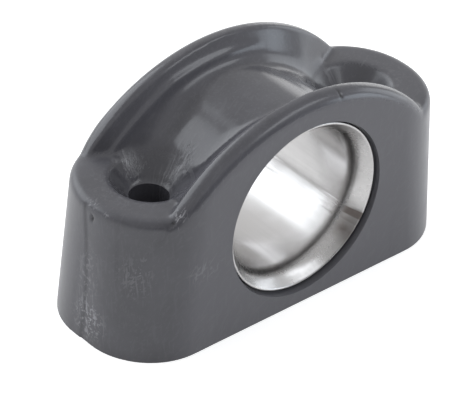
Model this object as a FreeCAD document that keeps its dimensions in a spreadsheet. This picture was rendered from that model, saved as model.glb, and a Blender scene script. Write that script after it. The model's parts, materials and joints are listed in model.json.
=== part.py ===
import FreeCAD, Part
import Sketcher
import os
import re

# Rope fairlead eye for a deck.
# A moulded nylon body is screwed down by two countersunk bolts, one at each end.
# A thin stainless liner with flared mouths lines the eye that the rope runs through.
# Millimetres. The base lies on the XY plane, the bolts stand along X, the rope runs along Y.

# Driving dimensions. Lengths in millimetres, angles in degrees.
SIZES = {
    # Outline of the body where it meets the deck.
    "base_length": 68.6,
    "base_width": 27.6,
    "base_end_flat": 4.2,
    # Outline at the level of the two boss tops, drawn in by the mould's draft.
    "boss_height": 25.8,
    "end_taper": 1.6,
    "side_taper": 1.1,
    "boss_end_flat": 0.6,
    "boss_round": 1.6,
    # Round crown of the two flanges, seen from the side. It stands above the saddle's floor.
    "flange_rise": 4.55,
    "crown_radius": 34.1,
    "crown_round": 2.2,
    "root_cover": 1.9,
    # Saddle between the flanges.
    "saddle_half": 10.1,
    "saddle_slope": 36.0,
    "saddle_hollow": 5.0,
    "floor_radius": 19.75,
    "eye_wall": 2.3,
    # Bolt holes, with a sink for a countersunk head.
    "bolt_spacing": 43.0,
    "bolt_hole_radius": 3.25,
    "sink_radius": 6.6,
    "sink_depth": 3.8,
    "throat_rise": 1.0,
    # Eye and its liner.
    "eye_height": 17.9,
    "tube_radius": 12.65,
    "sheet_gauge": 0.5,
    "bend_radius": 2.2,
    "flare_angle": 42.0,
    "flare_slant": 2.5,
    "lip_recess": 0.47,
    "lip_clearance": 0.2,
    # How far a cutting outline runs past the solid.
    "overrun": 3.0,
}

doc = FreeCAD.newDocument("rope_fairlead")
sheet = doc.addObject("Spreadsheet::Sheet", "sizes")
for row, (alias, size) in enumerate(SIZES.items(), start=1):
    sheet.set(f"A{row}", alias)
    sheet.set(f"B{row}", str(size))
    sheet.setAlias(f"B{row}", alias)
doc.recompute()

ALIASES = re.compile(r"\b(" + "|".join(SIZES) + r")\b")


def bound(formula):
    """The same formula with every alias read from the sheet."""
    return ALIASES.sub(r"sizes.\1", formula)


def value(formula):
    """Number that a formula of aliases gives now."""
    return float(sheet.evalExpression(formula))


def new_body(label):
    body = doc.addObject("PartDesign::Body", label)
    body.Label = label
    return body


def new_sketch(body, name, role, lift=None):
    """Sketch on one of the body's own origin planes, raised by a formula."""
    sketch = body.newObject("Sketcher::SketchObject", name)
    plane = next(item for item in body.Origin.OriginFeatures if item.Role == role)
    sketch.AttachmentSupport = [(plane, "")]
    sketch.MapMode = "FlatFace"
    if lift:
        sketch.setExpression("AttachmentOffset.Base.z", bound(lift))
    return sketch


def tie(sketch, kind, *where, formula):
    """Add a dimension and bind it to a formula."""
    number = sketch.addConstraint(Sketcher.Constraint(kind, *where, value(formula)))
    sketch.setExpression(f"Constraints[{number}]", bound(formula))


def place(sketch, edge, end, across, upward):
    """Hold one end of an edge at the place that two formulas give."""
    for kind, axis, formula in (("DistanceX", -2, across), ("DistanceY", -1, upward)):
        if formula == "0":
            sketch.addConstraint(Sketcher.Constraint("PointOnObject", edge, end, axis))
        else:
            tie(sketch, kind, -1, 1, edge, end, formula=formula)


def closed_outline(sketch, corners, bends=None):
    """Closed outline through corners, each a pair of formulas.

    bends gives, for the number of a corner, the radius of the arc that leaves it
    and the formulas of the arc's centre. The arc runs the short way round.
    """
    bends = bends or {}
    points = [FreeCAD.Vector(value(across), value(upward), 0) for across, upward in corners]
    for number, start in enumerate(points):
        end = points[(number + 1) % len(points)]
        if number in bends:
            radius, across, upward = bends[number]
            centre = FreeCAD.Vector(value(across), value(upward), 0)
            spoke = ((start + end) * 0.5 - centre).normalize() * value(radius)
            # The sketcher keeps every arc as one that turns left from its start.
            left = (start - centre).cross(end - centre).z > 0
            first, last = (start, end) if left else (end, start)
            sketch.addGeometry(Part.Arc(first, centre + spoke, last))
        else:
            sketch.addGeometry(Part.LineSegment(start, end))
    for number, (across, upward) in enumerate(corners):
        start_end = start_mark(sketch, number, points[number])
        before = (number - 1) % len(corners)
        before_end = start_mark(sketch, before, points[number])
        sketch.addConstraint(Sketcher.Constraint("Coincident", before, before_end, number, start_end))
        place(sketch, number, start_end, across, upward)
    for number, (radius, across, upward) in bends.items():
        tie(sketch, "Radius", number, formula=radius)


def start_mark(sketch, edge, point):
    """Which end of an edge lies at a point: 1 for its start, 2 for its end."""
    geometry = sketch.Geometry[edge]
    return 1 if (geometry.StartPoint - point).Length < (geometry.EndPoint - point).Length else 2


def rounded_rectangle(body, name, length, width, end_flat, lift=None):
    """Plan outline with corner arcs that leave a flat of end_flat at each end.

    Each long side has a middle stretch of one length at every level. A loft makes
    a true plane of it, which needs few facets.
    """
    sketch = new_sketch(body, name, "XY_Plane", lift)
    corner = f"(({width}) - ({end_flat})) / 2"
    half, side = f"({length}) / 2", f"({width}) / 2"
    inner, flat = f"({half} - {corner})", f"({end_flat}) / 2"
    corners = []
    bends = {}
    for across, upward, turned in ((1, -1, 0), (1, 1, 1), (-1, 1, 0), (-1, -1, 1)):
        on_stretch = (f"{across} * {SIDE_STRETCH}", f"{upward} * {side}")
        on_side = (f"{across} * {inner}", f"{upward} * {side}")
        on_end = (f"{across} * {half}", f"{upward} * {flat}")
        stops = [on_end, on_side, on_stretch] if turned else [on_stretch, on_side, on_end]
        bends[len(corners) + 1 - turned] = (corner, f"{across} * {inner}", f"{upward} * {flat}")
        corners += stops
    closed_outline(sketch, corners, bends)
    return sketch


def add_feature(body, kind, name, **settings):
    feature = body.newObject(kind, name)
    for key, setting in settings.items():
        setattr(feature, key, setting)
    doc.recompute()
    return feature


def edges_between(shape, one, other):
    """Names of the edges where a face that passes one test meets a face that passes another."""
    names = []
    for number, edge in enumerate(shape.Edges, start=1):
        faces = shape.ancestorsOfType(edge, Part.Face)
        if len(faces) == 2:
            first, second = faces
            if (one(first) and other(second)) or (one(second) and other(first)):
                names.append(f"Edge{number}")
    return names


def is_cylinder(face, radius):
    surface = face.Surface
    return surface.TypeId == "Part::GeomCylinder" and abs(surface.Radius - value(radius)) < 1e-4


def add_fillet(body, name, radius, edges):
    base = body.Tip
    fillet = body.newObject("PartDesign::Fillet", name)
    fillet.Base = (base, edges)
    fillet.setExpression("Radius", bound(radius))
    body.Tip = fillet
    doc.recompute()
    return fillet


# Heights over the middle of the eye: the saddle's floor and the crown of the flanges.
FLOOR_TOP = "(eye_height + tube_radius + sheet_gauge + eye_wall)"
CROWN_TOP = f"({FLOOR_TOP} + flange_rise)"

# The middle stretch of the long sides, as a share of their straight part at the boss tops.
STRETCH_SHARE = 0.93

# Level outlines of the body. The draft goes on above the boss tops at the same slope.
BOSS_LENGTH = "(base_length - end_taper)"
BOSS_WIDTH = "(base_width - side_taper)"
BASE_OUTLINE = ("base_length", "base_width", "base_end_flat")
BOSS_OUTLINE = (BOSS_LENGTH, BOSS_WIDTH, "boss_end_flat")
SIDE_STRETCH = f"({STRETCH_SHARE} * ({BOSS_LENGTH} - {BOSS_WIDTH} + boss_end_flat) / 2)"
TOP_LEVEL = f"({CROWN_TOP} + overrun)"
RISE = f"({TOP_LEVEL} - boss_height) / boss_height"
TOP_OUTLINE = (
    f"{BOSS_LENGTH} - end_taper * {RISE}",
    f"{BOSS_WIDTH} - side_taper * {RISE}",
    "boss_end_flat",
)

# Circles seen from the side: the crown and the saddle's floor over the eye.
CROWN_CENTRE = f"({CROWN_TOP} - crown_radius)"
FLOOR_CENTRE = f"({FLOOR_TOP} - floor_radius)"
ROOT_LEVEL = "(boss_height - boss_round - root_cover)"

# The V of the saddle is turned this many degrees, past the root of the arch at both ends.
SADDLE_TURN = 150


def drafted_block(body, name):
    """Drafted walls all round, as two lofts that go up past the crown."""
    levels = (("base", BASE_OUTLINE, None), ("waist", BOSS_OUTLINE, "boss_height"),
              ("top", TOP_OUTLINE, TOP_LEVEL))
    sketches = [rounded_rectangle(body, f"{name}_{part}", *plan, lift=level) for part, plan, level in levels]
    for number, (lower, upper) in enumerate(zip(sketches, sketches[1:]), start=1):
        add_feature(body, "PartDesign::AdditiveLoft", f"{name}_wall_{number}", Profile=(lower, [""]),
                    Sections=[upper], Ruled=True)


def cap_outline(sketch, centre, radius, level):
    """Part of a circle about the upright axis that lies above a level."""
    half = f"sqrt(({radius})^2 - ({level} - {centre})^2)"
    corners = [(f"-{half}", level), (half, level), ("0", f"{centre} + {radius}")]
    points = [FreeCAD.Vector(value(across), value(upward), 0) for across, upward in corners]
    sketch.addGeometry(Part.LineSegment(points[0], points[1]))
    sketch.addGeometry(Part.Arc(points[1], points[2], points[0]))
    sketch.addConstraint(Sketcher.Constraint("Coincident", 0, 1, 1, 2))
    sketch.addConstraint(Sketcher.Constraint("Coincident", 0, 2, 1, 1))
    sketch.addConstraint(Sketcher.Constraint("Horizontal", 0))
    place(sketch, 1, 3, "0", centre)
    tie(sketch, "Radius", 1, formula=radius)
    tie(sketch, "DistanceY", -1, 1, 0, 1, formula=level)


def make_arch():
    """Flanges, crown and saddle over the eye, rooted a little below the boss tops."""
    body = new_body("arch")
    drafted_block(body, "arch")
    cut_crown(body)
    round_crown(body)
    cut_saddle(body)
    fill_floor(body)
    return body


def cut_crown(body):
    """Leave only what lies under the crown's circle and above the root."""
    sketch = new_sketch(body, "crown_side", "XZ_Plane")
    cap_outline(sketch, CROWN_CENTRE, "crown_radius", ROOT_LEVEL)
    cap = Part.Wire([edge.toShape() for edge in sketch.Geometry])
    first = sketch.GeometryCount
    left, right = "-base_length / 2 - overrun", "base_length / 2 + overrun"
    low, high = "-overrun", f"{TOP_LEVEL} + overrun"
    frame = [(left, low), (right, low), (right, high), (left, high)]
    points = [FreeCAD.Vector(value(across), value(upward), 0) for across, upward in frame]
    for number, point in enumerate(points):
        sketch.addGeometry(Part.LineSegment(point, points[(number + 1) % 4]))
    for number, (across, upward) in enumerate(frame):
        before = first + (number - 1) % 4
        sketch.addConstraint(Sketcher.Constraint("Coincident", before, 2, first + number, 1))
        place(sketch, first + number, 1, across, upward)
    volume = body.Shape.Volume
    add_feature(body, "PartDesign::Pocket", "crown", Profile=(sketch, [""]), Type="ThroughAll",
                SideType="Symmetric")
    if not cap.isClosed() or body.Shape.Volume > 0.9 * volume:
        raise RuntimeError("the crown was not cut")


def round_crown(body):
    """Round the flanges' outer edges along the crown."""
    shape = body.Shape

    def on_crown(face):
        return is_cylinder(face, "crown_radius")

    def on_wall(face):
        return not on_crown(face) and face.BoundBox.ZLength > value("boss_round")

    add_fillet(body, "crown_rounding", "crown_round", edges_between(shape, on_crown, on_wall))


def cut_saddle(body):
    """Cut the saddle's sloping walls with a V turned about the crown's centre."""
    sketch = new_sketch(body, "saddle_section", "YZ_Plane")
    lean = "tan(saddle_slope)"
    mouth = f"(saddle_half + overrun * {lean})"
    corners = [("0", f"{CROWN_TOP} - saddle_half / {lean}"), (mouth, TOP_LEVEL), (f"-{mouth}", TOP_LEVEL)]
    closed_outline(sketch, corners)
    reach = FreeCAD.Vector(value("base_width"), value(CROWN_CENTRE), 0)
    axis = sketch.addGeometry(Part.LineSegment(FreeCAD.Vector(0, reach.y, 0), reach), True)
    sketch.addConstraint(Sketcher.Constraint("Horizontal", axis))
    place(sketch, axis, 1, "0", CROWN_CENTRE)
    tie(sketch, "DistanceX", axis, 1, axis, 2, formula="base_width")
    volume = body.Shape.Volume
    add_feature(body, "PartDesign::Groove", "saddle", Profile=(sketch, [""]),
                ReferenceAxis=(sketch, ["Axis0"]), Angle=SADDLE_TURN, Midplane=True)
    if body.Shape.Volume > 0.95 * volume:
        raise RuntimeError("the saddle was not cut")


def fill_floor(body):
    """Fill the bottom of the V with the round floor that covers the eye."""
    sketch = new_sketch(body, "floor_side", "XZ_Plane")
    cap_outline(sketch, FLOOR_CENTRE, "floor_radius", ROOT_LEVEL)
    pad = add_feature(body, "PartDesign::Pad", "floor", Profile=(sketch, [""]), SideType="Symmetric")
    pad.setExpression("Length", bound("2 * saddle_half"))
    doc.recompute()

    def on_floor(face):
        return is_cylinder(face, "floor_radius")

    def on_saddle_wall(face):
        return face.Surface.TypeId == "Part::GeomCone"

    edges = edges_between(body.Shape, on_floor, on_saddle_wall)
    add_fillet(body, "saddle_rounding", "saddle_hollow", edges)


def make_body(arch):
    """The moulded body: a drafted block with round-edged ends, and the arch on it."""
    body = new_body("moulded_body")
    drafted_block(body, "block")
    cut_to_bosses(body)
    round_bosses(body)
    join = body.newObject("PartDesign::Boolean", "join")
    join.setObjects([arch])
    join.Type = "Fuse"
    body.Tip = join
    doc.recompute()
    cut_eye(body)
    cut_bolt_holes(body)
    return body


def cut_to_bosses(body):
    """Take the block down to the level of the boss tops."""
    sketch = new_sketch(body, "boss_level", "XY_Plane", "boss_height")
    length, width = "(base_length / 2 + overrun)", "(base_width / 2 + overrun)"
    corners = [(f"-{length}", f"-{width}"), (length, f"-{width}"), (length, width), (f"-{length}", width)]
    closed_outline(sketch, corners)
    volume = body.Shape.Volume
    add_feature(body, "PartDesign::Pocket", "boss_tops", Profile=(sketch, [""]), Type="ThroughAll",
                Reversed=True)
    if not 0.5 * volume < body.Shape.Volume < 0.8 * volume:
        raise RuntimeError("the block was not cut down to the bosses")


def round_bosses(body):
    """Round the upper rim of the block, which shows around the two bosses."""
    shape = body.Shape
    level = value("boss_height")

    def on_top(face):
        return face.BoundBox.ZMin > level - 1e-3

    def on_wall(face):
        return face.BoundBox.ZLength > level / 2

    add_fillet(body, "boss_rounding", "boss_round", edges_between(shape, on_top, on_wall))


# Half length of the liner's straight tube. The lip stands back from the body's faces.
TUBE_HALF = (
    f"({BOSS_WIDTH} / 2 - lip_recess - bend_radius * sin(flare_angle)"
    " - flare_slant * cos(flare_angle))"
)

# Section of the liner's two skins from the middle to the lip, as reach along Y and radius.
# Each bend is two short cones, within 0.04 mm of the round and with far fewer facets.
SKIN_RADIUS = "(tube_radius + sheet_gauge)"
BEND_CENTRE = "(tube_radius + bend_radius)"
OUTER_BEND = "(bend_radius - sheet_gauge)"


def on_bend(radius, angle):
    """Place on a bend, an angle on from the straight tube."""
    return (f"({TUBE_HALF} + {radius} * sin({angle}))", f"({BEND_CENTRE} - {radius} * cos({angle}))")


def lip(turn):
    """End of the flare that leaves the bend at a turn."""
    return (f"({turn[0]} + flare_slant * cos(flare_angle))", f"({turn[1]} + flare_slant * sin(flare_angle))")


SKIN_MIDWAY = on_bend(OUTER_BEND, "flare_angle / 2")
SKIN_TURN = on_bend(OUTER_BEND, "flare_angle")
SKIN_LIP = lip(SKIN_TURN)
INNER_MIDWAY = on_bend("bend_radius", "flare_angle / 2")
INNER_TURN = on_bend("bend_radius", "flare_angle")
INNER_LIP = lip(INNER_TURN)


def eye_axis(sketch, length):
    """Line along the eye's middle that a section is turned about."""
    start = FreeCAD.Vector(0, value("eye_height"), 0)
    end = start + FreeCAD.Vector(value(length), 0, 0)
    axis = sketch.addGeometry(Part.LineSegment(start, end), True)
    sketch.addConstraint(Sketcher.Constraint("Horizontal", axis))
    place(sketch, axis, 1, "0", "eye_height")
    tie(sketch, "DistanceX", axis, 1, axis, 2, formula=length)


def above_eye(radius):
    return f"eye_height + {radius}"


def cut_eye(body):
    """Cut the eye, its seat for the liner and the recess that the lip stands in, both ways."""
    sketch = new_sketch(body, "eye_section", "YZ_Plane")
    recess_radius = f"({SKIN_LIP[1]} + lip_clearance)"
    recess_floor = f"({SKIN_LIP[0]} + lip_clearance / tan(flare_angle))"
    outside = "(base_width / 2 + overrun)"
    corners = [
        ("0", "eye_height"),
        (outside, "eye_height"),
        (outside, above_eye(recess_radius)),
        (recess_floor, above_eye(recess_radius)),
        (SKIN_TURN[0], above_eye(SKIN_TURN[1])),
        (SKIN_MIDWAY[0], above_eye(SKIN_MIDWAY[1])),
        (TUBE_HALF, above_eye(SKIN_RADIUS)),
        ("0", above_eye(SKIN_RADIUS)),
    ]
    closed_outline(sketch, corners)
    eye_axis(sketch, outside)
    groove = add_feature(body, "PartDesign::Groove", "eye", Profile=(sketch, [""]),
                         ReferenceAxis=(sketch, ["Axis0"]), Angle=360)
    mirror(body, groove, "XZ_Plane", "eye_mirrored")


def mirror(body, feature, role, name):
    """Repeat a feature on the other side of one of the body's own planes."""
    plane = next(item for item in body.Origin.OriginFeatures if item.Role == role)
    mirrored = body.newObject("PartDesign::Mirrored", name)
    mirrored.Originals = [feature]
    mirrored.MirrorPlane = (plane, [""])
    body.Tip = mirrored
    doc.recompute()


def cut_bolt_holes(body):
    """Bore both bolt holes, with the head's sink running on up into the saddle."""
    sketch = new_sketch(body, "bolt_section", "XZ_Plane")
    axis = "-bolt_spacing / 2"
    slope = "(sink_radius - bolt_hole_radius) / sink_depth"
    throat_top = "boss_height + throat_rise"
    corners = [
        (axis, "-overrun"),
        (f"{axis} + bolt_hole_radius", "-overrun"),
        (f"{axis} + bolt_hole_radius", "boss_height - sink_depth"),
        (f"{axis} + sink_radius + throat_rise * {slope}", throat_top),
        (axis, throat_top),
    ]
    closed_outline(sketch, corners)
    line = sketch.addGeometry(
        Part.LineSegment(FreeCAD.Vector(value(axis), 0, 0), FreeCAD.Vector(value(axis), 1, 0)), True)
    sketch.addConstraint(Sketcher.Constraint("Vertical", line))
    place(sketch, line, 1, axis, "0")
    tie(sketch, "DistanceY", line, 1, line, 2, formula="boss_height")
    groove = add_feature(body, "PartDesign::Groove", "bolt_hole", Profile=(sketch, [""]),
                         ReferenceAxis=(sketch, ["Axis0"]), Angle=360)
    mirror(body, groove, "YZ_Plane", "bolt_hole_mirrored")


def make_liner():
    """Thin stainless tube with both mouths flared into the body's seats."""
    body = new_body("eye_liner")
    sketch = new_sketch(body, "liner_section", "YZ_Plane")
    corners = [
        ("0", above_eye("tube_radius")),
        (TUBE_HALF, above_eye("tube_radius")),
        (INNER_MIDWAY[0], above_eye(INNER_MIDWAY[1])),
        (INNER_TURN[0], above_eye(INNER_TURN[1])),
        (INNER_LIP[0], above_eye(INNER_LIP[1])),
        (SKIN_LIP[0], above_eye(SKIN_LIP[1])),
        (SKIN_TURN[0], above_eye(SKIN_TURN[1])),
        (SKIN_MIDWAY[0], above_eye(SKIN_MIDWAY[1])),
        (TUBE_HALF, above_eye(SKIN_RADIUS)),
        ("0", above_eye(SKIN_RADIUS)),
    ]
    closed_outline(sketch, corners)
    eye_axis(sketch, INNER_LIP[0])
    turned = add_feature(body, "PartDesign::Revolution", "liner", Profile=(sketch, [""]),
                         ReferenceAxis=(sketch, ["Axis0"]), Angle=360)
    mirror(body, turned, "XZ_Plane", "liner_mirrored")
    return body


def check_and_write(nodes):
    """Stop on anything that failed, then write one file for each sub-part."""
    for item in doc.Objects:
        if {"Invalid", "Error"} & set(item.State):
            raise RuntimeError(f"{item.Name} failed: {item.State}")
    os.makedirs("parts", exist_ok=True)
    for node in nodes:
        if node.Shape.isNull() or not node.Shape.isValid() or len(node.Shape.Solids) != 1:
            raise RuntimeError(f"{node.Label} is not one valid solid")
        print(node.Label, round(node.Shape.Volume, 1), len(node.Shape.Faces))
        node.Shape.exportStep(f"parts/{node.Label}.step")


check_and_write([make_body(make_arch()), make_liner()])
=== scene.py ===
import json
import math

import bmesh
import bpy
from bpy.props import FloatProperty, FloatVectorProperty, IntProperty, PointerProperty
from mathutils import Matrix, Vector


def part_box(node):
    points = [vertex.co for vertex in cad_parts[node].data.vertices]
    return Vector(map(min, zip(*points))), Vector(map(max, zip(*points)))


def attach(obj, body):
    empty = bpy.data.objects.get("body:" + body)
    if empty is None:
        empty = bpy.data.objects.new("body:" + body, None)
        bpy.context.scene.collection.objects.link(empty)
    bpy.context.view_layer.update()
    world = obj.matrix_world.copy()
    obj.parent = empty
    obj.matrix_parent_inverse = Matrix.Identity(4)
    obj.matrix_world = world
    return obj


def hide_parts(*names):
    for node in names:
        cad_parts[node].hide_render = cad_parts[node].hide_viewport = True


bl_info = {
    "name": "Rope Fairlead Eye",
    "version": (1, 0, 0),
    "blender": (4, 5, 0),
    "location": "3D View > Sidebar > Fairlead",
    "description": "Moulded fairlead body with a flared steel liner, on a pale studio floor",
    "category": "Object",
}

MM = 0.001

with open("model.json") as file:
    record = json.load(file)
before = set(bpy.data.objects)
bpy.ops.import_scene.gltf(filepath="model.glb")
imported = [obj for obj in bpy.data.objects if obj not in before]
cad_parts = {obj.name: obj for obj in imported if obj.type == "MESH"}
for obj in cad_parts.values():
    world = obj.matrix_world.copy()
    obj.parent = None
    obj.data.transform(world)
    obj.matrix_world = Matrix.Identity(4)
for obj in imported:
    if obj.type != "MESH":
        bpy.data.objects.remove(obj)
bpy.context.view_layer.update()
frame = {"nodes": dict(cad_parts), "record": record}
MOUNTS = {mount["name"]: mount for mount in frame["record"]["mounts"]}

# The eye's axis runs along Y at this height, and the liner's straight bore has this radius.
EYE_CENTRE = Vector(MOUNTS["eye"]["pos_m"])
BORE_RADIUS = MOUNTS["eye"]["dims"]["r_mm"] * MM
LINER_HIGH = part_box("eye_liner")[1]
LIP_HALF = LINER_HIGH.y
LIP_RADIUS = LINER_HIGH.x
BODY_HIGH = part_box("moulded_body")[1]
BOLT_REACH = MOUNTS["bolts"]["dims"]["spacing_x_mm"] * MM / 2
BOLT_HOLE_RADIUS = MOUNTS["bolts"]["dims"]["hole_r_mm"] * MM

# How far the body's walls go on below the deck while its skin is made.
SPARE_FOOT = 1.6 * MM

# How fast the long faces draw in upwards, and where the sinks' cones end.
SIDE_DRAW = math.tan(math.radians(1.1))
SINK_FOOT = 22.1 * MM

# Radius of the arch that both flanges' crowns follow, and the levels of the boss tops and of
# the saddle's foot, in millimetres.
CROWN_RADIUS = 34.1
BOSS_LEVEL = 25.4
SADDLE_FOOT = 26.2

# Edges of the body that turn by more than this stay sharp.
SHARP_TURN = math.radians(38)

# Zones in which the saddle is smoothed down into a sink, as (how far from the hole's axis, from
# what level up, how often), in millimetres, and how far they reach to each side of the middle.
THROATS = ((10.5, 23.6, 8), (9.6, 23.2, 12), (8.8, 22.9, 22))
THROAT_HALF = 9 * MM

# Spare room behind the liner.
LINER_ROOM = 0.13 * MM

# How many degrees of the bore the rubbed strip beside the weld takes up.
WELD_STRIP = 9

# Soft boxes as (name, turn, lift, distance, size, glow, tint), with angles in degrees.
SOFT_BOXES = (
    ("box_behind_left", -157, 30, 0.9, (0.98, 0.68), 1.95, (0.9, 0.95, 1.0)),
    ("box_right", 54, 6, 0.8, (0.32, 0.3), 2.6, (0.8, 0.9, 1.0)),
    ("box_far_right", 84, 10, 0.8, (0.34, 0.4), 1.5, (0.88, 0.94, 1.0)),
    ("box_above_right", 38, 47, 0.8, (0.54, 0.2), 2.3, (0.92, 0.96, 1.0)),
    ("box_behind_right", 121, 6, 0.9, (0.36, 0.22), 1.1, (1.0, 1.0, 1.0)),
)

# The direction in which the room is brightest.
BRIGHT_SIDE = (0.1, 0.85, 0.52)


class BodySettings(bpy.types.PropertyGroup):
    """Sizes and colours of the moulded body."""

    colour: FloatVectorProperty(
        name="Nylon", description="Colour of the moulded nylon", subtype="COLOR",
        size=3, min=0, max=1, default=(0.072, 0.0716, 0.0825))
    voxel: FloatProperty(
        name="Skin cell", description="Cell size of the body's skin", subtype="DISTANCE",
        unit="LENGTH", default=0.36 * MM, min=0.3 * MM)
    soften: IntProperty(
        name="Softening", description="How often the skin's edges are softened", default=3, min=0)
    rubbed: FloatVectorProperty(
        name="Rubbed", description="Colour of scratches and dust", subtype="COLOR",
        size=3, min=0, max=1, default=(0.27, 0.27, 0.29))
    dull: FloatProperty(
        name="Outer gloss", description="Roughness of the outer faces", default=0.32, min=0, max=1)
    glossy: FloatProperty(
        name="Saddle gloss", description="Roughness where the rope has polished the saddle",
        default=0.17, min=0, max=1)
    lip_gap: FloatProperty(
        name="Lip gap", description="Gap between the liner's lip and the body", subtype="DISTANCE",
        unit="LENGTH", default=0.18 * MM)
    ridge: FloatProperty(
        name="Ridge", description="Height of the ridge along the saddle's sides",
        subtype="DISTANCE", unit="LENGTH", default=0.22 * MM)
    ridge_depth: FloatProperty(
        name="Ridge depth", description="How far the ridge runs below the crown",
        subtype="DISTANCE", unit="LENGTH", default=2.35 * MM)
    crease: FloatProperty(
        name="Crease", description="Depth of the crease that runs down from the flange's foot",
        subtype="DISTANCE", unit="LENGTH", default=0.2 * MM)
    parting_step: FloatProperty(
        name="Parting step", description="Height of the step at the mould's parting line",
        subtype="DISTANCE", unit="LENGTH", default=0.14 * MM)
    parting_bow: FloatProperty(
        name="Parting bow", description="How much the parting line bows, per millimetre",
        default=0.006)


class LinerSettings(bpy.types.PropertyGroup):
    """Sizes and colours of the steel liner."""

    steel: FloatVectorProperty(
        name="Steel", description="Colour of the stainless sheet", subtype="COLOR",
        size=3, min=0, max=1, default=(0.54, 0.531, 0.528))
    # Colour of the tint beside the weld and of the painted dark reflection on the flare near it.
    tint_and_reflection: FloatVectorProperty(
        name="Tarnish", description="Colour of the heat tint beside the weld", subtype="COLOR",
        size=3, min=0, max=1, default=(0.2, 0.175, 0.165))
    gauge: FloatProperty(
        name="Sheet", description="Thickness of the sheet", subtype="DISTANCE", unit="LENGTH",
        default=0.5 * MM, min=0.1 * MM)
    bend: FloatProperty(
        name="Bend", description="Inner radius of the bend into the flare", subtype="DISTANCE",
        unit="LENGTH", default=5.0 * MM, min=0.5 * MM)
    flare: FloatProperty(
        name="Flare", description="Angle of the flare off the eye's axis", subtype="ANGLE",
        default=math.radians(42.0))
    steps: IntProperty(name="Steps", description="Steps round the eye", default=432, min=24)
    seam: FloatProperty(
        name="Seam", description="Where the weld runs, as an angle from the bottom of the eye",
        subtype="ANGLE", default=math.radians(62.6))
    seam_peak: FloatProperty(
        name="Seam peak", description="How far the sheet's two ends stand out at the weld",
        subtype="DISTANCE", unit="LENGTH", default=0.13 * MM)


class StageSettings(bpy.types.PropertyGroup):
    """Camera, floor and light."""

    azimuth: FloatProperty(
        name="Azimuth", description="Camera's direction round the fairlead", subtype="ANGLE",
        default=math.radians(-43.015))
    elevation: FloatProperty(
        name="Elevation", description="Camera's height as an angle", subtype="ANGLE",
        default=math.radians(35.625))
    roll: FloatProperty(
        name="Roll", description="Camera's lean to one side", subtype="ANGLE",
        default=math.radians(3.657))
    distance: FloatProperty(
        name="Distance", description="Camera's distance from its target", subtype="DISTANCE",
        unit="LENGTH", default=566.7 * MM)
    focal: FloatProperty(
        name="Focal length", description="Lens, in millimetres on a 36 mm sensor", default=269.74)
    target: FloatVectorProperty(
        name="Target", description="Point that the camera looks at", subtype="XYZ",
        unit="LENGTH", default=(-2.94 * MM, 0.0, 13.35 * MM))
    floor: FloatVectorProperty(
        name="Floor", description="Colour of the floor", subtype="COLOR", size=3, min=0, max=1,
        default=(0.9, 0.9, 0.9))
    floor_glow: FloatProperty(
        name="Floor glow", description="How much whiter the floor looks than it is lit",
        default=0.55)
    mirrored_glow: FloatProperty(
        name="Mirrored glow", description="The same in reflections", default=0.4)
    front_glow: FloatProperty(
        name="Front glow", description="Brightness of the room low on the camera's side",
        default=0.12)
    top_glow: FloatProperty(
        name="Top glow", description="Brightness of the room overhead", default=0.62)
    back_glow: FloatProperty(
        name="Back glow", description="Brightness of the room behind the part", default=1.0)


def link(piece):
    bpy.context.scene.collection.objects.link(piece)
    return piece


def piece_from(bm, name, material):
    """Object at the origin whose mesh holds the place, with smooth faces that point outwards."""
    bmesh.ops.recalc_face_normals(bm, faces=bm.faces)
    mesh = bpy.data.meshes.new(name)
    bm.to_mesh(mesh)
    bm.free()
    mesh.shade_smooth()
    mesh.materials.append(material)
    return link(bpy.data.objects.new(name, mesh))


def applied(piece):
    """The piece's mesh as its modifiers make it."""
    graph = bpy.context.evaluated_depsgraph_get()
    mesh = bpy.data.meshes.new_from_object(piece.evaluated_get(graph))
    old = piece.data
    piece.modifiers.clear()
    piece.data = mesh
    bpy.data.meshes.remove(old)
    return mesh


def new_material(name):
    """New material, with its node tree and its shader."""
    material = bpy.data.materials.new(name)
    material.use_nodes = True
    return material, material.node_tree, material.node_tree.nodes["Principled BSDF"]


def node(tree, kind, **settings):
    """New node, with each setting put on the node itself or else on its input of that name."""
    made = tree.nodes.new(kind)
    for key, setting in settings.items():
        if hasattr(made, key):
            setattr(made, key, setting)
        else:
            made.inputs[key.replace("_", " ")].default_value = setting
    return made


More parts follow.
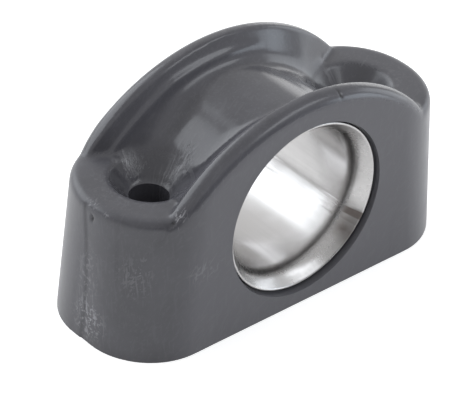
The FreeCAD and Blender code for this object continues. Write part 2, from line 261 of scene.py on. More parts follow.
def streaks_group():
    """Fine streaks: noise drawn out along one direction and cut to thin lines."""
    group = bpy.data.node_groups.new("fine_streaks", "ShaderNodeTree")
    face = group.interface
    face.new_socket("Vector", in_out="INPUT", socket_type="NodeSocketVector")
    for name, start in (("Turn", (0, 0, 0)), ("Stretch", (1, 1, 1))):
        face.new_socket(name, in_out="INPUT", socket_type="NodeSocketVector").default_value = start
    for name, start in (("Scale", 900.0), ("Cut", 0.6), ("Softness", 0.05)):
        face.new_socket(name, in_out="INPUT", socket_type="NodeSocketFloat").default_value = start
    face.new_socket("Mask", in_out="OUTPUT", socket_type="NodeSocketFloat")
    links = group.links
    given = group.nodes.new("NodeGroupInput")
    turned = node(group, "ShaderNodeMapping", vector_type="POINT")
    stretched = node(group, "ShaderNodeVectorMath", operation="MULTIPLY")
    lines = node(group, "ShaderNodeTexNoise", Detail=2.0, Roughness=0.5)
    top = node(group, "ShaderNodeMath", operation="ADD")
    cut = node(group, "ShaderNodeMapRange", interpolation_type="SMOOTHSTEP")
    out = group.nodes.new("NodeGroupOutput")
    links.new(given.outputs["Vector"], turned.inputs["Vector"])
    links.new(given.outputs["Turn"], turned.inputs["Rotation"])
    links.new(turned.outputs["Vector"], stretched.inputs[0])
    links.new(given.outputs["Stretch"], stretched.inputs[1])
    links.new(stretched.outputs["Vector"], lines.inputs["Vector"])
    links.new(given.outputs["Scale"], lines.inputs["Scale"])
    links.new(given.outputs["Cut"], top.inputs[0])
    links.new(given.outputs["Softness"], top.inputs[1])
    links.new(lines.outputs["Fac"], cut.inputs["Value"])
    links.new(given.outputs["Cut"], cut.inputs["From Min"])
    links.new(top.outputs[0], cut.inputs["From Max"])
    links.new(cut.outputs["Result"], out.inputs["Mask"])
    return group


def streaks(tree, place, turn=(0, 0, 0), stretch=(1, 1, 1), scale=900.0, cut=0.6, softness=0.05):
    """The streaks' mask, with its own direction, size and share of the surface."""
    group = bpy.data.node_groups.get("fine_streaks") or streaks_group()
    used = node(tree, "ShaderNodeGroup", node_tree=group)
    tree.links.new(place, used.inputs["Vector"])
    used.inputs["Turn"].default_value = [math.radians(angle) for angle in turn]
    used.inputs["Stretch"].default_value = stretch
    used.inputs["Scale"].default_value = scale
    used.inputs["Cut"].default_value = cut
    used.inputs["Softness"].default_value = softness
    return used.outputs["Mask"]


def ripples_group():
    """Fine wavy lines that run down into each bolt's sink, turned about its hole."""
    group = bpy.data.node_groups.new("sink_ripples", "ShaderNodeTree")
    group.interface.new_socket("Vector", in_out="INPUT", socket_type="NodeSocketVector")
    group.interface.new_socket("Mask", in_out="OUTPUT", socket_type="NodeSocketFloat")
    links = group.links
    given = group.nodes.new("NodeGroupInput")
    parts = group.nodes.new("ShaderNodeSeparateXYZ")
    links.new(given.outputs["Vector"], parts.inputs["Vector"])
    across = parts.outputs["Y"]
    along = combine(group, "ABSOLUTE", parts.outputs["X"], 0)
    inward = combine(group, "SUBTRACT", along, BOLT_REACH)
    turn = combine(group, "ARCTAN2", across, inward)
    away = combine(group, "ADD", combine(group, "MULTIPLY", inward, inward),
                   combine(group, "MULTIPLY", across, across))
    away = combine(group, "SQRT", away, 0)
    wobble = node(group, "ShaderNodeTexNoise", Scale=420.0, Detail=2.0)
    links.new(given.outputs["Vector"], wobble.inputs["Vector"])
    bent = combine(group, "ADD", combine(group, "MULTIPLY", turn, 14.0),
                   combine(group, "MULTIPLY", wobble.outputs["Fac"], 2.2))
    place = group.nodes.new("ShaderNodeCombineXYZ")
    links.new(bent, place.inputs["X"])
    links.new(combine(group, "MULTIPLY", away, 260.0), place.inputs["Y"])
    lines = node(group, "ShaderNodeTexNoise", Scale=1.0, Detail=3.0, Roughness=0.6)
    links.new(place.outputs["Vector"], lines.inputs["Vector"])
    out = group.nodes.new("NodeGroupOutput")
    links.new(ranged(group, lines.outputs["Fac"], 0.5, 0.6, 0, 1), out.inputs["Mask"])
    return group


def combine(tree, operation, first, second):
    """Sum, product or other pairing of two masks, or of a mask and a number."""
    made = node(tree, "ShaderNodeMath", operation=operation)
    for number, given in enumerate((first, second)):
        if isinstance(given, (int, float)):
            made.inputs[number].default_value = given
        else:
            tree.links.new(given, made.inputs[number])
    return made.outputs[0]


def blend(tree, share, first, second):
    """Colour that goes from the first to the second as the mask grows."""
    made = node(tree, "ShaderNodeMix", data_type="RGBA")
    tree.links.new(share, made.inputs["Factor"])
    for name, given in (("A", first), ("B", second)):
        socket = next(item for item in made.inputs if item.name == name and item.type == "RGBA")
        if isinstance(given, tuple):
            socket.default_value = (*given, 1)
        else:
            tree.links.new(given, socket)
    return next(item for item in made.outputs if item.type == "RGBA")


def ranged(tree, given, low, high, start, end):
    """The mask spread from one range to another."""
    made = node(tree, "ShaderNodeMapRange", From_Min=low, From_Max=high, To_Min=start, To_Max=end)
    tree.links.new(given, made.inputs["Value"])
    return made.outputs["Result"]


def bumped(tree, shader, height, distance, strength):
    """Let a mask stand up from the surface."""
    bump = node(tree, "ShaderNodeBump", Distance=distance, Strength=strength)
    tree.links.new(height, bump.inputs["Height"])
    tree.links.new(bump.outputs["Normal"], shader.inputs["Normal"])


def nylon_material(settings):
    """Satin moulded nylon: grain, slow mottling, rubbed places, fine scratches, painted shade in
    the hollows and painted light on the long faces.
    """
    material, tree, shader = new_material("moulded_nylon")
    shader.inputs["IOR"].default_value = 1.53
    place = node(tree, "ShaderNodeTexCoord").outputs["Object"]
    polish, scuff, painted_shade, ripple, pale = (
        node(tree, "ShaderNodeAttribute", attribute_name=name).outputs["Fac"]
        for name in ("polish", "scuff", "painted_shade", "ripple", "pale"))
    drag = node(tree, "ShaderNodeGroup", node_tree=ripples_group())
    dragged = combine(tree, "MULTIPLY", drag.outputs["Mask"], ripple)
    mottle = node(tree, "ShaderNodeTexNoise", Scale=160.0, Detail=4.0, Roughness=0.6)
    grain = node(tree, "ShaderNodeTexNoise", Scale=2600.0, Detail=3.0, Roughness=0.7)
    for texture in (drag, mottle, grain):
        tree.links.new(place, texture.inputs["Vector"])
    rub_down = streaks(tree, place, (8, 0, 20), (1, 1, 0.12), 2100, 0.6)
    rub_across = streaks(tree, place, (35, 30, 0), (0.12, 0.6, 1), 1900, 0.61)
    rub_slant = streaks(tree, place, (0, 52, 0), (0.12, 1, 1), 2300, 0.6)
    lines = combine(tree, "MAXIMUM", combine(tree, "MAXIMUM", rub_down, rub_across), rub_slant)
    specks = streaks(tree, place, (0, 0, 0), (1, 1, 1), 1300, 0.56, 0.12)
    wear = combine(tree, "MULTIPLY", lines, combine(tree, "ADD", scuff, 0.07))
    dust = combine(tree, "MULTIPLY", specks, scuff)
    # Tones for painted shade, for the slow mottling, and for painted light on the long faces.
    shade_tone, dark, light, lit_tone = (tuple(share * part for part in settings.colour)
                                 for share in (0.35, 0.86, 1.14, 1.45))
    colour = blend(tree, ranged(tree, mottle.outputs["Fac"], 0.3, 0.7, 0, 1), dark, light)
    # Painted light: the long faces turn paler past a slanting border.
    colour = blend(tree, combine(tree, "MULTIPLY", pale, 0.75), colour, lit_tone)
    for mask, share in ((wear, 0.7), (dragged, 0.8), (dust, 0.6)):
        colour = blend(tree, combine(tree, "MULTIPLY", mask, share), colour, tuple(settings.rubbed))
    # Painted shade: darker in the sinks, in the recess round the liner's lip, in the pits and along
    # the parting step.
    tree.links.new(blend(tree, painted_shade, colour, shade_tone), shader.inputs["Base Color"])
    sheen = ranged(tree, polish, 0, 1, settings.dull, settings.glossy)
    rough = combine(tree, "ADD", sheen, combine(tree, "MULTIPLY", wear, 0.2))
    rough = combine(tree, "ADD", rough, ranged(tree, mottle.outputs["Fac"], 0.3, 0.7, -0.04, 0.04))
    tree.links.new(rough, shader.inputs["Roughness"])
    relief = combine(tree, "SUBTRACT", combine(tree, "MULTIPLY", grain.outputs["Fac"], 0.35), wear)
    relief = combine(tree, "ADD", relief, combine(tree, "MULTIPLY", dragged, 4.0))
    bumped(tree, shader, relief, 0.02 * MM, 0.5)
    return material


def steel_material(settings):
    """Rolled stainless sheet with streaks along the tube, a weld, a little tint beside it and a
    painted dark reflection on the flare near it.
    """
    material, tree, shader = new_material("rolled_steel")
    shader.inputs["Metallic"].default_value = 1.0
    place = node(tree, "ShaderNodeTexCoord").outputs["Object"]
    tint_and_reflection = node(tree, "ShaderNodeAttribute", attribute_name="tint_and_reflection").outputs["Fac"]
    along = streaks(tree, place, (0, 0, 0), (1, 0.04, 1), 1500, 0.4, 0.3)
    cloud = node(tree, "ShaderNodeTexNoise", Scale=220.0, Detail=3.0, Roughness=0.55)
    tree.links.new(place, cloud.inputs["Vector"])
    plain = tuple(settings.steel)
    darker = tuple(0.93 * part for part in plain)
    streaked = blend(tree, combine(tree, "MULTIPLY", along, 0.5), plain, darker)
    # Tint beside the weld, and painted dark reflection on the flare near it, broken up by the
    # cloud.
    stained = ranged(tree, cloud.outputs["Fac"], 0.35, 0.6, 0.55, 1)
    stained = combine(tree, "MULTIPLY", tint_and_reflection, stained)
    tree.links.new(blend(tree, stained, streaked, tuple(settings.tint_and_reflection)),
                   shader.inputs["Base Color"])
    rough = combine(tree, "ADD", ranged(tree, along, 0, 1, 0.2, 0.23),
                    ranged(tree, cloud.outputs["Fac"], 0.3, 0.7, -0.03, 0.05))
    matt = node(tree, "ShaderNodeAttribute", attribute_name="flare").outputs["Fac"]
    rough = combine(tree, "ADD", rough, combine(tree, "MULTIPLY", matt, 0.07))
    tree.links.new(combine(tree, "ADD", rough, combine(tree, "MULTIPLY", tint_and_reflection, 0.1)),
                   shader.inputs["Roughness"])
    relief = combine(tree, "ADD", combine(tree, "MULTIPLY", along, 0.4), cloud.outputs["Fac"])
    relief = combine(tree, "MULTIPLY", relief, combine(tree, "SUBTRACT", 1.0, matt))
    bumped(tree, shader, relief, 0.003 * MM, 0.1)
    return material


def smooth(bm, verts, passes):
    """Even out the skin, a little with each pass."""
    for _ in range(passes):
        bmesh.ops.smooth_vert(bm, verts=verts, factor=0.5, use_axis_x=True, use_axis_y=True,
                              use_axis_z=True)


def turned_profile(bm, profile, centre, axis, steps):
    """Closed shape turned about an axis through the centre from (along, out) points."""
    along = Vector(axis)
    out = Vector((1, 0, 0)) if abs(along.x) < 0.5 else Vector((0, 1, 0))
    verts = [bm.verts.new(centre + along * reach + out * radius) for reach, radius in profile]
    edges = [bm.edges.new(pair) for pair in zip(verts, verts[1:])]
    bmesh.ops.spin(bm, geom=verts + edges, cent=centre, axis=axis, angle=math.tau, steps=steps,
                   use_merge=True)
    bmesh.ops.remove_doubles(bm, verts=bm.verts, dist=0.001 * MM)


def face_reach(height):
    """How far the long faces stand out at a height, as they draw in upwards."""
    return BODY_HIGH.y - SIDE_DRAW * height


def fill_openings(bm):
    """Plug the eye and both bolt holes, so that they can be cut with crisp rims later."""
    deep = (SINK_FOOT + SPARE_FOOT + MM) / 2
    hole_plug = BOLT_HOLE_RADIUS + 0.2 * MM
    eye_plug = LIP_RADIUS + 0.7 * MM
    for side in (-1, 1):
        bmesh.ops.create_cone(
            bm, cap_ends=True, segments=64, radius1=hole_plug, radius2=hole_plug, depth=2 * deep,
            matrix=Matrix.Translation((side * BOLT_REACH, 0, SINK_FOOT - deep)))
    laid = Matrix.Translation(EYE_CENTRE) @ Matrix.Rotation(math.pi / 2, 4, "X")
    plug = bmesh.ops.create_cone(bm, cap_ends=True, segments=192, radius1=eye_plug,
                                 radius2=eye_plug, depth=2 * LIP_HALF, matrix=laid)
    for vert in plug["verts"]:
        vert.co.y = math.copysign(face_reach(vert.co.z) - 0.01 * MM, vert.co.y)


def opening_cutter(settings, liner):
    """The eye, shaped to the liner's back with a gap round its lip, and both bolt holes.

    It follows the liner's outer skin as far as the widest point of the lip.
    """
    bm = bmesh.new()
    outer = [(reach, radius + LINER_ROOM) for reach, radius in liner_section(liner)[1][:-2]]
    gap = LIP_RADIUS + settings.lip_gap
    half = outer + [(outer[-1][0], gap), (BODY_HIGH.y + MM, gap + 0.25 * MM), (BODY_HIGH.y + MM, 0)]
    profile = [(-reach, radius) for reach, radius in half[:0:-1]] + half
    turned_profile(bm, profile, EYE_CENTRE, (0, 1, 0), 288)
    for side in (-1, 1):
        hole = [(-SPARE_FOOT - 2 * MM, 0), (-SPARE_FOOT - 2 * MM, BOLT_HOLE_RADIUS),
                (SINK_FOOT + 0.8 * MM, BOLT_HOLE_RADIUS), (SINK_FOOT + 0.8 * MM, 0)]
        turned_profile(bm, hole, Vector((side * BOLT_REACH, 0, 0)), (0, 0, 1), 96)
    bmesh.ops.recalc_face_normals(bm, faces=bm.faces)
    return piece_from(bm, "opening_cutter", None)


def fine_skin(settings, liner, material):
    """Copy of the moulded body with an even, fine skin whose edges are a little softened.

    The walls go on below the deck while the skin is made, and are cut off there again,
    so that the lower edge stays straight and crisp. The openings are cut last.
    """
    bm = bmesh.new()
    bm.from_mesh(frame["nodes"]["moulded_body"].data)
    bmesh.ops.remove_doubles(bm, verts=bm.verts, dist=0.001 * MM)
    foot = [vert for vert in bm.verts if vert.co.z < 0.01 * MM]
    bmesh.ops.translate(bm, verts=foot, vec=(0, 0, -SPARE_FOOT))
    fill_openings(bm)
    piece = piece_from(bm, "body_shell", material)
    remesh = piece.modifiers.new("skin", "REMESH")
    remesh.mode = "VOXEL"
    remesh.voxel_size = settings.voxel
    remesh.adaptivity = 0
    applied(piece)
    bm = bmesh.new()
    bm.from_mesh(piece.data)
    smooth(bm, bm.verts, settings.soften)
    hollow_throats(bm)
    raise_ridges(bm, settings)
    bm.to_mesh(piece.data)
    bm.free()
    cutter = opening_cutter(settings, liner)
    cut = piece.modifiers.new("openings", "BOOLEAN")
    cut.object = cutter
    cut.solver = "MANIFOLD"
    applied(piece)
    bpy.data.objects.remove(cutter)
    bm = bmesh.new()
    bm.from_mesh(piece.data)
    whole = bm.verts[:] + bm.edges[:] + bm.faces[:]
    foot = bmesh.ops.bisect_plane(bm, geom=whole, dist=0.001 * MM, plane_co=(0, 0, 0),
                                  plane_no=(0, 0, -1), clear_outer=True)["geom_cut"]
    rim = [item for item in foot if isinstance(item, bmesh.types.BMEdge)]
    bmesh.ops.triangle_fill(bm, use_beauty=True, edges=rim, normal=(0, 0, -1))
    bmesh.ops.dissolve_degenerate(bm, dist=0.001 * MM, edges=bm.edges)
    bmesh.ops.recalc_face_normals(bm, faces=bm.faces)
    wear_body(bm, settings)
    for edge in bm.edges:
        edge.smooth = edge.calc_face_angle(0) < SHARP_TURN
    bm.to_mesh(piece.data)
    bm.free()
    for face in piece.data.polygons:
        face.use_smooth = True
    return piece


def hollow_throats(bm):
    """Run the saddle down into each bolt's sink in one smooth hollow."""
    for reach, low, passes in THROATS:
        zone = []
        for vert in bm.verts:
            inward = BOLT_REACH - abs(vert.co.x)
            near = math.hypot(inward, vert.co.y) < reach * MM and abs(vert.co.y) < THROAT_HALF
            if near and inward > -0.5 * MM and vert.co.z - low * MM > 0:
                zone.append(vert)
        smooth(bm, zone, passes)


def clamped(number):
    """The number kept between 0 and 1."""
    return max(0.0, min(1.0, number))


def raise_ridges(bm, settings):
    """Raise the low moulded ridge that follows each flange's crown on the saddle's side."""
    bm.normal_update()
    shifts = []
    for vert in bm.verts:
        x, y, z = (part / MM for part in vert.co)
        if abs(x) < 24 and 6.5 < abs(y) < 10.5 and z > 24 and vert.normal.y * y < 0:
            crown = BODY_HIGH.z / MM - CROWN_RADIUS + math.sqrt(CROWN_RADIUS ** 2 - x * x)
            below = crown - z - settings.ridge_depth / MM - 0.09 * max(0.0, abs(x) - 10)
            fade = clamped((9 - x) / 8)
            shifts.append((vert, fade * settings.ridge * math.exp(-(below / 0.6) ** 2)))
    for vert, shift in shifts:
        vert.co += vert.normal * shift


def closeness(place, centre, radius):
    """1 at the centre and 0 beyond the radius, each given for X, Y and Z in millimetres."""
    spread = math.sqrt(sum(((at / MM - mid) / far) ** 2
                           for at, mid, far in zip(place, centre, radius)))
    return max(0.0, 1 - spread * spread) ** 2


# Rubbed and dusty places as (centre, radius along X, Y and Z, how strong), in millimetres.
SCUFFS = (
    ((-33.8, -1.2, 4.5), (3.0, 4.5, 5.0), 1.5),
    ((-24.9, -11.4, 26.6), (1.5, 1.2, 1.8), 1.6),
    ((-30.3, -9.4, 18.0), (1.6, 1.4, 3.0), 0.3),
    ((-34.0, -0.5, 12.0), (3.0, 3.0, 9.0), 0.45),
    ((-32.9, 0.3, 25.4), (1.8, 1.8, 0.9), 1.0),
    ((-32.8, -3.2, 25.2), (0.7, 0.7, 0.5), 1.3),
    ((-25.7, -11.8, 25.6), (1.6, 0.9, 1.3), 1.6),
    ((-20.5, 5.0, 24.5), (3.2, 2.6, 3.2), 0.9),
    ((-16.0, -0.5, 26.5), (4.0, 3.0, 4.0), 0.8),
    ((-31.0, -8.5, 15.5), (4.0, 4.0, 5.0), 0.3),
    ((-21.0, -13.5, 15.5), (4.5, 1.5, 3.0), 0.4),
    ((-24.0, 0.0, 25.9), (9.0, 9.0, 0.8), 0.3),
    ((24.0, 0.0, 25.9), (9.0, 9.0, 0.8), 0.2),
    ((33.9, 1.0, 7.0), (3.0, 6.0, 6.0), 0.7),
    ((16.0, 0.5, 26.5), (4.0, 3.0, 4.0), 0.6),
)

# Pits and nicks in the same form, pressed in and darkened with painted shade; the strength is also
# the depth in millimetres.
PITS = (
    ((-33.6, -0.6, 23.4), (0.9, 0.45, 0.9), 0.5),
    ((-26.3, -11.3, 25.6), (0.6, 0.35, 0.5), 0.35),
    ((6.4, -12.2, 36.8), (0.35, 1.6, 1.4), 0.12),
)

# Places in the sinks where something has dragged fine lines down toward the hole, likewise.
RIPPLES = (
    ((-20.8, 5.6, 25.0), (2.4, 3.4, 3.2), 1.0),
    ((-14.6, 0.3, 26.8), (4.4, 2.6, 4.6), 0.9),
    ((-18.0, 1.0, 23.5), (3.0, 3.5, 2.2), 0.6),
    ((15.0, 0.5, 26.6), (4.0, 2.6, 4.4), 0.7),
    ((20.8, 5.0, 24.8), (2.4, 3.0, 3.0), 0.5),
)


def painted_light_share(along, height):
    """How much painted light a long face gets: 0 near the first end and 1 past a slanting, soft
    border.
    """
    border = -22.5 - 2.5 * clamped((25.2 - height) / 16)
    share = clamped(0.5 + (along - border) / 6)
    return share * share * (3 - 2 * share)


def polish_at(vert, x, y, z):
    """How polished the skin is: most in the saddle, and a little less in the sinks."""
    inside = 0.0
    if z > SADDLE_FOOT:
        start, most = (-0.15, 1.0) if abs(y) < 10.6 else (0.1, 0.8)
        inside = most * clamped((vert.normal.z - start) / 0.4)
    in_sink = math.hypot(abs(x) - BOLT_REACH / MM, y) < 6.8 and 21.5 < z < 25.6
    return max(inside, 0.75 * in_sink)


def painted_shade_at(place, x, y, z):
    """How much painted shade the skin gets: in the sinks, and round the liner's lip."""
    if math.hypot(x, z - EYE_CENTRE.z / MM) < 16 and 12 < abs(y) < face_reach(place.z) / MM - 0.1:
        return 0.6
    return 0.5 * max(closeness(place, (side * 18.5, 3.5, 24.6), (6.5, 6.5, 5.0))
                     for side in (-1, 1))


def parting_line(settings, x, y, z):
    """Depth of the step at the mould's parting line on both ends, and the painted shadow along it.
    """
    if abs(x) <= 29 or z >= 25:
        return 0.0, 0.0
    line = settings.parting_bow * (z - 9) ** 2
    past = (line - y * math.copysign(1, -x)) / 0.35
    depth = 0.0
    if past > 0:
        depth = settings.parting_step / MM * min(1.0, past) * math.exp(-past / 12)
    return depth, 0.4 * max(0.0, 1 - abs(past - 0.5))


def crease_depth(settings, vert, x, z):
    """Depth of the crease that runs down the near face from the flange's foot."""
    if vert.normal.y >= -0.4 or not 12 < z < BOSS_LEVEL or x >= -20:
        return 0.0
    past = (-25.9 - 5.4 * ((BOSS_LEVEL - z) / 9.3) ** 0.75 - x) / 0.5
    if past <= 0:
        return 0.0
    return settings.crease / MM * min(1.0, past) * math.exp(-past / 7) * min(1.0, (z - 12) / 5)


def wear_body(bm, settings):
    """Press in the parting line, crease and pits, and mark the rubbed places, the painted shade and
    the painted light.
    """
    polish, scuff, painted_shade, ripple, pale = (
        bm.verts.layers.float.new(name) for name in ("polish", "scuff", "painted_shade", "ripple", "pale"))
    bm.normal_update()
    for vert in bm.verts:
        place = vert.co.copy()
        x, y, z = (part / MM for part in place)
        vert[polish] = polish_at(vert, x, y, z)
        for layer, marks, most in ((scuff, SCUFFS, 2.2), (ripple, RIPPLES, 1.0)):
            vert[layer] = min(most, sum(share * closeness(place, centre, radius)
                                        for centre, radius, share in marks))
        # Painted light on the long faces, by how squarely they face along Y.
        vert[pale] = painted_light_share(x, z) * clamped(3 * abs(vert.normal.y) - 1)
        # Painted shade in the sinks and round the liner's lip.
        vert[painted_shade] = painted_shade_at(place, x, y, z)
        sunk = 0.0
        for centre, radius, depth in PITS:
            near = closeness(place, centre, radius)
            sunk += depth * near
            # Painted shade in each pit.
            vert[painted_shade] = min(1.0, vert[painted_shade] + 1.4 * near)
        step, step_shade = parting_line(settings, x, y, z)
        # Painted shadow along the parting step.
        vert[painted_shade] = max(vert[painted_shade], step_shade)
        sunk += step + crease_depth(settings, vert, x, z)
        if sunk:
            vert.co -= vert.normal * sunk * MM


class FAIRLEAD_OT_body(bpy.types.Operator):
    """Model the moulded body"""

    bl_idname = "fairlead.body"
    bl_label = "Moulded body"

    def execute(self, context):
        settings = context.scene.fairlead_body
        piece = fine_skin(settings, context.scene.fairlead_liner, nylon_material(settings))
        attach(piece, "root")
        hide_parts("moulded_body")
        return {"FINISHED"}


def liner_section(settings):
    """Half section of the liner, as (reach along Y, radius) for its inner and outer skin.

    Both run from the middle of the bore to the tip of the rounded lip.
    """
    turns, runs = 10, 14
    lip_radius = LIP_RADIUS - settings.gauge * math.cos(settings.flare)
    corner = LIP_HALF - (lip_radius - BORE_RADIUS) / math.tan(settings.flare)
    straight = corner - settings.bend * math.tan(settings.flare / 2)
    inner = [(straight * step / runs, BORE_RADIUS) for step in range(runs)]
    outer = [(reach, radius + settings.gauge) for reach, radius in inner]
    centre = BORE_RADIUS + settings.bend
    for step in range(turns + 1):
        angle = settings.flare * step / turns
        for skin, radius in ((inner, settings.bend), (outer, settings.bend - settings.gauge)):
            skin.append((straight + radius * math.sin(angle), centre - radius * math.cos(angle)))
    reach, radius = inner[-1]
    run, rise = LIP_HALF - reach, lip_radius - radius
    edge = settings.gauge / 2
    length = math.hypot(run, rise)
    for skin in (inner, outer):
        reach, radius = skin[-1]
        for share in (0.34, 0.67, 1.0 - 1.1 * edge / length):
            skin.append((reach + run * share, radius + rise * share))
    middle = Vector(((inner[-1][0] + outer[-1][0]) / 2, (inner[-1][1] + outer[-1][1]) / 2))
    for skin, turns in ((inner, (-70, -45, -20)), (outer, (70, 45, 20, 0))):
        for turn in turns:
            slant = math.radians(turn) + settings.flare
            skin.append((middle.x + edge * math.cos(slant), middle.y + edge * math.sin(slant)))
    return inner, outer


def seam_angle(settings, place):
    """Angle round the eye from the weld, and distance from the eye's axis."""
    across, upward = place.x, place.z - EYE_CENTRE.z
    return math.atan2(across, -upward) - settings.seam, math.hypot(across, upward)


def weld_liner(bm, settings):
    """Stand the sheet's ends out at the weld, raise its bead, and mark the tint beside it and the
    painted dark reflection on the flare near it.
    """
    tint_and_reflection, matt = (bm.verts.layers.float.new(name) for name in ("tint_and_reflection", "flare"))
    for vert in bm.verts:
        turn, radius = seam_angle(settings, vert.co)
        degrees = math.degrees(turn)
        peak = settings.seam_peak * math.exp(-abs(turn) / 0.2)
        mouth = clamped((abs(vert.co.y) / MM - 3.5) / 3)
        strip = mouth if -WELD_STRIP < degrees < 0 else 0.0
        bead = 0.05 * MM * mouth * max(0.0, 1 - abs(degrees + WELD_STRIP) / 1.6)
        bead += 0.012 * MM * max(0.0, 1 - abs(degrees) / 1.0)
        scale = (radius + peak - bead - 0.03 * MM * strip) / radius
        vert.co.x *= scale
        vert.co.z = EYE_CENTRE.z + (vert.co.z - EYE_CENTRE.z) * scale
        flare = clamped((abs(vert.co.y) / MM - 9.6) / 1.4)
        # Painted dark reflection on the flare near the weld, and a little tint along the strip
        # beside the weld.
        patch = 1.0 if -4.5 < degrees < 0.5 else max(0.0, 1 - abs(degrees + 15) / 11)
        vert[tint_and_reflection] = min(1.0, flare * patch + 0.25 * strip)
        vert[matt] = flare


class FAIRLEAD_OT_liner(bpy.types.Operator):
    """Roll and flare the steel liner"""

    bl_idname = "fairlead.liner"
    bl_label = "Steel liner"

    def execute(self, context):
        settings = context.scene.fairlead_liner
        inner, outer = liner_section(settings)
        bm = bmesh.new()
        loop = inner + outer[::-1]
        loop += [(-reach, radius) for reach, radius in outer[1:]]
        loop += [(-reach, radius) for reach, radius in inner[:0:-1]]
        verts = [bm.verts.new(EYE_CENTRE + Vector((0, reach, radius))) for reach, radius in loop]
        edges = [bm.edges.new((verts[i], verts[(i + 1) % len(verts)])) for i in range(len(verts))]
        bmesh.ops.spin(bm, geom=verts + edges, cent=EYE_CENTRE, axis=(0, 1, 0),
                       angle=math.tau, steps=settings.steps, use_merge=True)
        bmesh.ops.remove_doubles(bm, verts=bm.verts, dist=0.001 * MM)
        weld_liner(bm, settings)
        piece = piece_from(bm, "flared_tube", steel_material(settings))
        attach(piece, "root")
        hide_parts("eye_liner")
        return {"FINISHED"}


def direction(turn, lift):
    """Direction out from the part; a turn of 0 is its front, along -Y."""
    return Vector((math.sin(turn) * math.cos(lift), -math.cos(turn) * math.cos(lift),
                   math.sin(lift)))


def soft_box(name, turn, lift, distance, size, glow, tint):
    """Rectangular soft box at a direction from the part, as bright as its glow all over."""
    data = bpy.data.lights.new(name, "AREA")
    data.shape = "RECTANGLE"
    data.size, data.size_y = size
    data.energy = glow * math.pi * size[0] * size[1]
    data.color = tint
    toward = direction(math.radians(turn), math.radians(lift))
    lamp = link(bpy.data.objects.new(name, data))
    lamp.location = EYE_CENTRE + toward * distance
    lamp.rotation_euler = toward.to_track_quat("Z", "Y").to_euler()


def studio_world(settings):
    """World that is bright behind the part and dim on the camera's side."""
    world = bpy.data.worlds.new("studio")
    bpy.context.scene.world = world
    world.use_nodes = True
    tree = world.node_tree
    place = tree.nodes.new("ShaderNodeTexCoord")
    toward = node(tree, "ShaderNodeVectorMath", operation="DOT_PRODUCT")
    toward.inputs[1].default_value = BRIGHT_SIDE
    tree.links.new(place.outputs["Generated"], toward.inputs[0])
    share = node(tree, "ShaderNodeMapRange", From_Min=-1.0)
    tree.links.new(toward.outputs["Value"], share.inputs["Value"])
    shades = tree.nodes.new("ShaderNodeValToRGB")
    stops = ((0.0, settings.front_glow), (0.2, settings.front_glow), (0.36, settings.top_glow),
             (0.8, settings.top_glow + 0.1), (1.0, settings.back_glow))
    ramp = shades.color_ramp
    ramp.interpolation = "EASE"
    while len(ramp.elements) < len(stops):
        ramp.elements.new(1.0)
    for stop, (position, glow) in zip(ramp.elements, stops):
        stop.position = position
        stop.color = (glow, glow, glow, 1)
    tree.links.new(share.outputs["Result"], shades.inputs["Fac"])
    tree.links.new(shades.outputs["Color"], tree.nodes["Background"].inputs["Color"])


def floor_material(settings):
    """Matt pale floor that the camera and polished metal see as white, with the part's shadow."""
    material, tree, shader = new_material("pale_floor")
    shader.inputs["Base Color"].default_value = (*settings.floor, 1)
    shader.inputs["Roughness"].default_value = 0.9
    shader.inputs["Emission Color"].default_value = (1, 1, 1, 1)
    ray = tree.nodes.new("ShaderNodeLightPath")
    mirrored = combine(tree, "MULTIPLY", ray.outputs["Is Glossy Ray"], settings.mirrored_glow)
    seen = combine(tree, "MULTIPLY", ray.outputs["Is Camera Ray"], settings.floor_glow)
    tree.links.new(combine(tree, "MAXIMUM", seen, mirrored), shader.inputs["Emission Strength"])
    return material


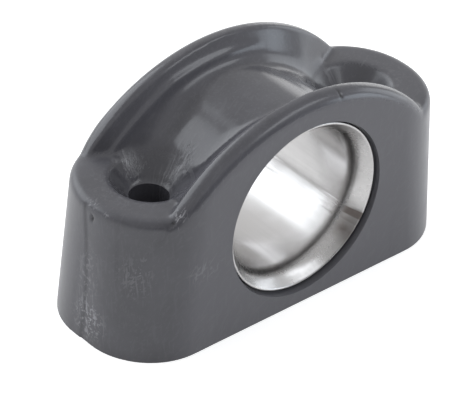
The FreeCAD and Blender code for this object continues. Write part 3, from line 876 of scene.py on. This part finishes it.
def make_camera(settings):
    """Camera at the photograph's angle, with its small roll."""
    turn, lean = settings.azimuth, settings.roll
    back = direction(turn, settings.elevation)
    side = Vector((math.cos(turn), math.sin(turn), 0))
    top = back.cross(side)
    across = side * math.cos(lean) + top * math.sin(lean)
    upward = top * math.cos(lean) - side * math.sin(lean)
    data = bpy.data.cameras.new("camera")
    data.sensor_width = 36
    data.lens = settings.focal
    data.clip_start, data.clip_end = 0.01, 20
    camera = link(bpy.data.objects.new("camera", data))
    turned = Matrix((across, upward, back)).transposed().to_4x4()
    place = Vector(settings.target) + back * settings.distance
    camera.matrix_world = Matrix.Translation(place) @ turned
    bpy.context.scene.camera = camera


class FAIRLEAD_OT_stage(bpy.types.Operator):
    """Set the floor, the light and the camera"""

    bl_idname = "fairlead.stage"
    bl_label = "Stage"

    def execute(self, context):
        settings = context.scene.fairlead_stage
        bm = bmesh.new()
        bmesh.ops.create_grid(bm, x_segments=1, y_segments=1, size=3.0)
        floor = piece_from(bm, "floor", floor_material(settings))
        for box in SOFT_BOXES:
            soft_box(*box)
        studio_world(settings)
        context.scene.view_settings.view_transform = "Standard"
        make_camera(settings)
        return {"FINISHED"}


class FAIRLEAD_PT_panel(bpy.types.Panel):
    """Builds the fairlead piece by piece"""

    bl_idname = "FAIRLEAD_PT_panel"
    bl_label = "Rope Fairlead Eye"
    bl_space_type = "VIEW_3D"
    bl_region_type = "UI"
    bl_category = "Fairlead"

    def draw(self, context):
        for operator, settings in ((FAIRLEAD_OT_body, context.scene.fairlead_body),
                                   (FAIRLEAD_OT_liner, context.scene.fairlead_liner),
                                   (FAIRLEAD_OT_stage, context.scene.fairlead_stage)):
            box = self.layout.box()
            box.operator(operator.bl_idname)
            for name in settings.__annotations__:
                box.prop(settings, name)


CLASSES = (BodySettings, LinerSettings, StageSettings, FAIRLEAD_OT_body, FAIRLEAD_OT_liner,
           FAIRLEAD_OT_stage, FAIRLEAD_PT_panel)


def register():
    for item in CLASSES:
        bpy.utils.register_class(item)
    bpy.types.Scene.fairlead_body = PointerProperty(type=BodySettings)
    bpy.types.Scene.fairlead_liner = PointerProperty(type=LinerSettings)
    bpy.types.Scene.fairlead_stage = PointerProperty(type=StageSettings)


def unregister():
    del bpy.types.Scene.fairlead_stage
    del bpy.types.Scene.fairlead_liner
    del bpy.types.Scene.fairlead_body
    for item in reversed(CLASSES):
        bpy.utils.unregister_class(item)


def main():
    register()
    bpy.ops.fairlead.stage()
    bpy.ops.fairlead.body()
    bpy.ops.fairlead.liner()


if __name__ == "__main__":
    main()
